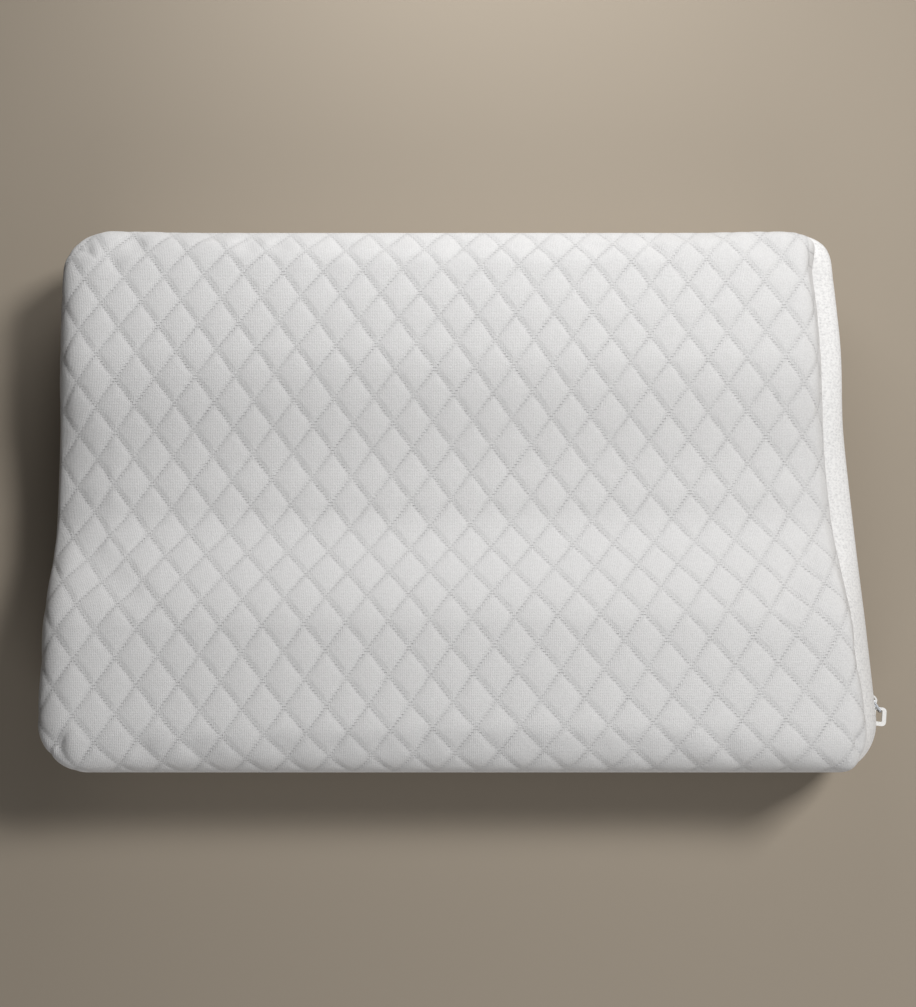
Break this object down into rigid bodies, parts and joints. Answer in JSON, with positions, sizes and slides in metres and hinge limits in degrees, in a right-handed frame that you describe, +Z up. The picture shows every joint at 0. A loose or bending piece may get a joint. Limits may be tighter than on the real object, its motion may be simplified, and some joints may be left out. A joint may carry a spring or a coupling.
{
  "type": "bed pillow",
  "caption": "Contour bed pillow: foam block with a high and a low lobe in a quilted knit cover that zips along one end, with a sliding zip pull and ring tab.",
  "frame": {"origin": "centre of the flat underside", "axes": "+X along the long side, towards the end that zips; -Y towards the high lobe; +Z up"},
  "size_m": [0.6062, 0.4, 0.114],
  "materials": {
    "foam": "matte",
    "liner": "matte",
    "quilted_knit": "matte",
    "plain_knit": "matte",
    "tape": "matte",
    "thread": "satin",
    "coil": "satin",
    "painted_slider": "gloss",
    "bare_metal": "satin"
  },
  "bodies": {
    "pillow": {"foam_core": "foam", "inner_liner": "liner", "top_panel": "quilted_knit", "bottom_panel": "plain_knit", "side_band": "quilted_knit", "right_end_upper_band": "quilted_knit", "right_end_lower_band": "quilted_knit", "zipper_tape_upper": "tape", "zipper_tape_lower": "tape", "zipper_coil_upper": "coil", "zipper_coil_lower": "coil", "zipper_top_stop_upper": "bare_metal", "zipper_top_stop_lower": "bare_metal", "zipper_bottom_stop": "bare_metal", "zipper_stitching_upper": "thread", "zipper_stitching_lower": "thread"},
    "slider": {"slider_body": "painted_slider"},
    "link": {"pull_link": "bare_metal"},
    "tab": {"pull_tab": "painted_slider"}
  },
  "joints": [
    {"name": "zipper_slide", "type": "slide", "parent": "pillow", "child": "slider", "axis": [-0.0732, 0.9973, 0], "range_m": [0, 0.295]},
    {"name": "pull_swing", "type": "hinge", "parent": "slider", "child": "link", "pos_m": [0.30257, -0.1494, 0.042], "axis": [0, 0, 1], "range_deg": [0, 115]},
    {"name": "tab_flip", "type": "hinge", "parent": "link", "child": "tab", "pos_m": [0.30716, -0.15511, 0.042], "axis": [0.9945, -0.1045, 0], "range_deg": [-75, 75]}
  ]
}
